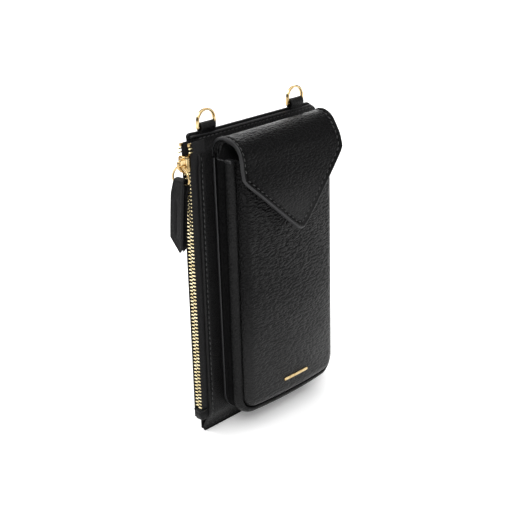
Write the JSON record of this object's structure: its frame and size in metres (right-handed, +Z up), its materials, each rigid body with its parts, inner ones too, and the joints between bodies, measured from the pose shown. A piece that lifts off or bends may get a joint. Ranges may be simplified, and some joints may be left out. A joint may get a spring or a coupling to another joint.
{
  "type": "phone pouch",
  "caption": "Upright leather phone pouch: a zip wallet with a crowned front pocket under a pointed magnetic flap, and rings for a strap.",
  "frame": {"origin": "middle of the wallet's bottom seam, on the edge that it stands on", "axes": "+Z up along the wallet's height, +Y out of the flat back panel, front pocket and flap towards -Y, zip on the -X edge"},
  "size_m": [0.1257, 0.0385, 0.2034],
  "materials": {
    "black_leather": "black pebbled leather, soft sheen",
    "black_lining": "black woven lining",
    "zip_tape": "black twill zip tape",
    "gold_metal": "polished pale gold plating",
    "magnet_steel": "plain plated magnet, hidden"
  },
  "bodies": {
    "pouch": {"back_panel": "black_leather", "middle_panel": "black_leather", "wallet_lining_back": "black_lining", "wallet_lining_front": "black_lining", "zip_tape_front": "zip_tape", "zip_tape_rear": "zip_tape", "zip_teeth_front": "gold_metal", "zip_teeth_rear": "gold_metal", "zip_bottom_stop": "gold_metal", "zip_top_stops": "gold_metal", "zip_end_tab": "black_leather", "pocket_back": "black_leather", "pocket_back_lining": "black_lining", "pocket_gusset": "black_leather", "pocket_front": "black_leather", "pocket_front_lining": "black_lining", "pocket_magnet": "magnet_steel", "trim_bar": "gold_metal", "ring_tab_left": "black_leather", "ring_tab_right": "black_leather"},
    "flap_crown": {"flap_crown": "black_leather", "flap_crown_lining": "black_lining"},
    "flap_front": {"flap_front": "black_leather", "flap_front_lining": "black_lining", "flap_magnet": "magnet_steel"},
    "slider": {"zip_slider": "gold_metal", "slider_bridge": "gold_metal"},
    "link": {"pull_link": "gold_metal"},
    "pull": {"pull_tab": "black_leather"},
    "ring_left": {"d_ring_left": "gold_metal"},
    "ring_right": {"d_ring_right": "gold_metal"}
  },
  "joints": [
    {"name": "flap_rear_fold", "type": "hinge", "parent": "pouch", "child": "flap_crown", "pos_m": [0, -0.00965, 0.18665], "axis": [-1, 0, 0], "range_deg": [0, 85]},
    {"name": "flap_front_fold", "type": "hinge", "parent": "flap_crown", "child": "flap_front", "pos_m": [0, -0.0269, 0.1846], "axis": [-1, 0, 0], "range_deg": [0, 85]},
    {"name": "zip_slide", "type": "slide", "parent": "pouch", "child": "slider", "axis": [0, 0, -1], "range_m": [0, 0.148], "deforming": ["zip_teeth_front", "zip_teeth_rear"]},
    {"name": "link_swing", "type": "hinge", "parent": "slider", "child": "link", "pos_m": [-0.0664, -0.00265, 0.1737], "axis": [0, 1, 0], "range_deg": [0, 120]},
    {"name": "pull_swing", "type": "hinge", "parent": "link", "child": "pull", "pos_m": [-0.0664, -0.00265, 0.16495], "axis": [0, 1, 0], "range_deg": [0, 60]},
    {"name": "ring_left_swing", "type": "hinge", "parent": "pouch", "child": "ring_left", "pos_m": [-0.04215, 0, 0.1929], "axis": [1, 0, 0], "range_deg": [-90, 40]},
    {"name": "ring_right_swing", "type": "hinge", "parent": "pouch", "child": "ring_right", "pos_m": [0.03605, 0, 0.1929], "axis": [1, 0, 0], "range_deg": [-90, 40]}
  ],
  "couplings": [
    {"joint": "flap_front_fold", "follows": "flap_rear_fold", "ratio": 1}
  ]
}
